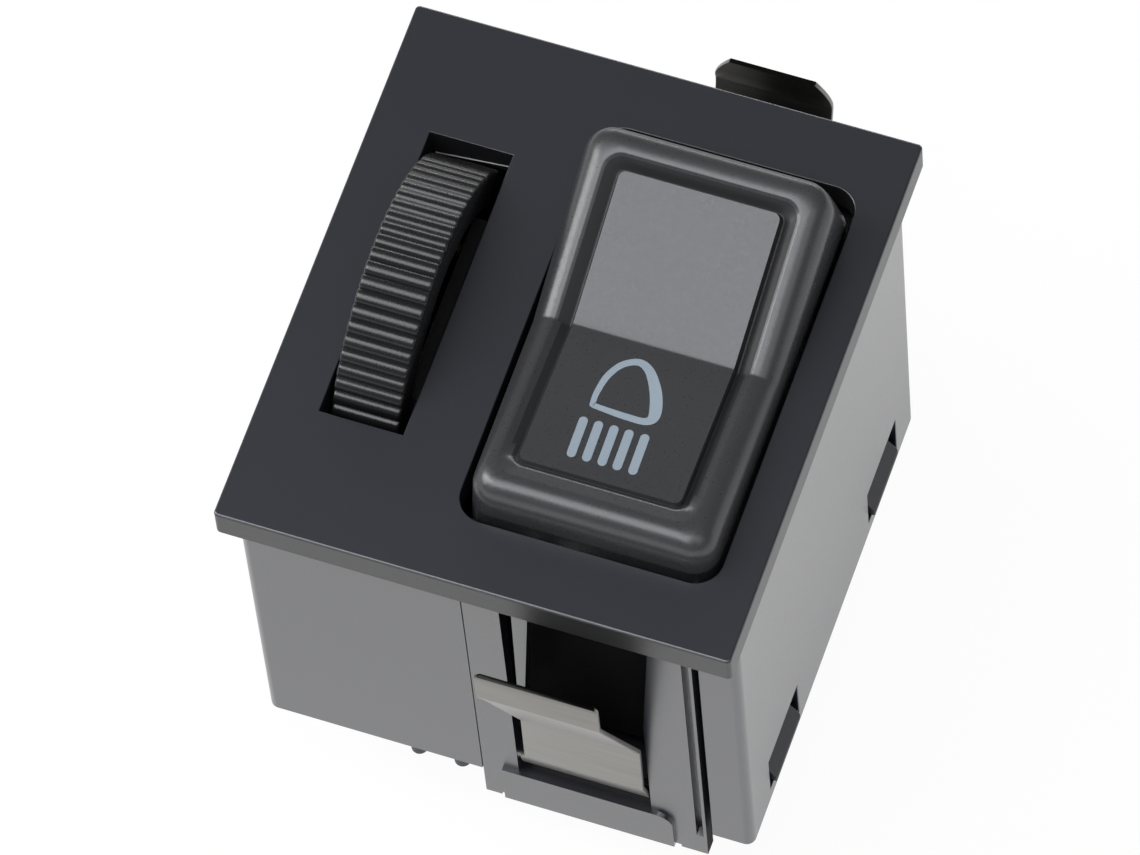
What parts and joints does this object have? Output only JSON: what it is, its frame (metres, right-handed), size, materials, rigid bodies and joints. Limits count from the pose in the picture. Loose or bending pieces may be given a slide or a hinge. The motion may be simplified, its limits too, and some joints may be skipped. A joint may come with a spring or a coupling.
{
  "type": "headlight switch",
  "caption": "Square dash switch with a tilted rocker for the headlights, a ribbed thumbwheel dimmer beside it, a box-shaped housing and spring clips above and below.",
  "frame": {"origin": "middle of the bounding box's underside, on the rim of the connector socket", "axes": "+Z out of the face plate towards the user, +X to the right of the face, +Y to the upper edge of the face"},
  "size_m": [0.054, 0.0746, 0.0714],
  "materials": {
    "housing": "satin, fine grain",
    "frame": "satin",
    "rocker": "satin, fine grain",
    "wheel": "matte",
    "base": "matte",
    "acetal": "satin",
    "ceramic": "matte, unglazed",
    "spring_steel": "dark oxide, satin",
    "steel": "plain",
    "copper_alloy": "stamped strip",
    "winding": "fine wound wire"
  },
  "bodies": {
    "housing": {"front_housing": "housing", "rocker_frame": "frame", "pivot_pin_left": "steel", "pivot_pin_right": "steel", "centre_terminal": "copper_alloy", "front_terminal": "copper_alloy", "rear_terminal": "copper_alloy", "bottom_clip": "spring_steel", "top_clip": "spring_steel", "rear_base": "base", "dimmer_carrier": "base", "wheel_axle": "steel", "friction_washer": "spring_steel", "rheostat_disc": "ceramic", "resistance_winding": "winding", "dimmer_terminal_lower": "copper_alloy", "dimmer_terminal_upper": "copper_alloy"},
    "rocker": {"rocker_cap": "rocker", "plunger_spring": "steel"},
    "plunger": {"detent_plunger": "acetal"},
    "contact_bar": {"contact_bar": "copper_alloy"},
    "thumbwheel": {"thumbwheel": "wheel", "wiper": "copper_alloy"}
  },
  "joints": [
    {"name": "rocker_tilt", "type": "hinge", "parent": "housing", "child": "rocker", "pos_m": [0.00925, 0.0007, 0.0558], "axis": [1, 0, 0], "range_deg": [-13.8, 0]},
    {"name": "contact_bar_tilt", "type": "hinge", "parent": "housing", "child": "contact_bar", "pos_m": [0.00925, 0.0007, 0.0396], "axis": [1, 0, 0], "range_deg": [0, 16]},
    {"name": "plunger_slide", "type": "slide", "parent": "rocker", "child": "plunger", "axis": [0, -0.1201, 0.9928], "range_m": [0, 0.0012], "stiffness_N_per_m": 400, "springref_m": -0.002, "deforming": ["plunger_spring"]},
    {"name": "dimmer_turn", "type": "hinge", "parent": "housing", "child": "thumbwheel", "pos_m": [-0.0166, 0.00095, 0.0524], "axis": [1, 0, 0], "range_deg": [-80, 0]}
  ],
  "couplings": [
    {"joint": "contact_bar_tilt", "follows": "rocker_tilt", "ratio": -1.159}
  ]
}
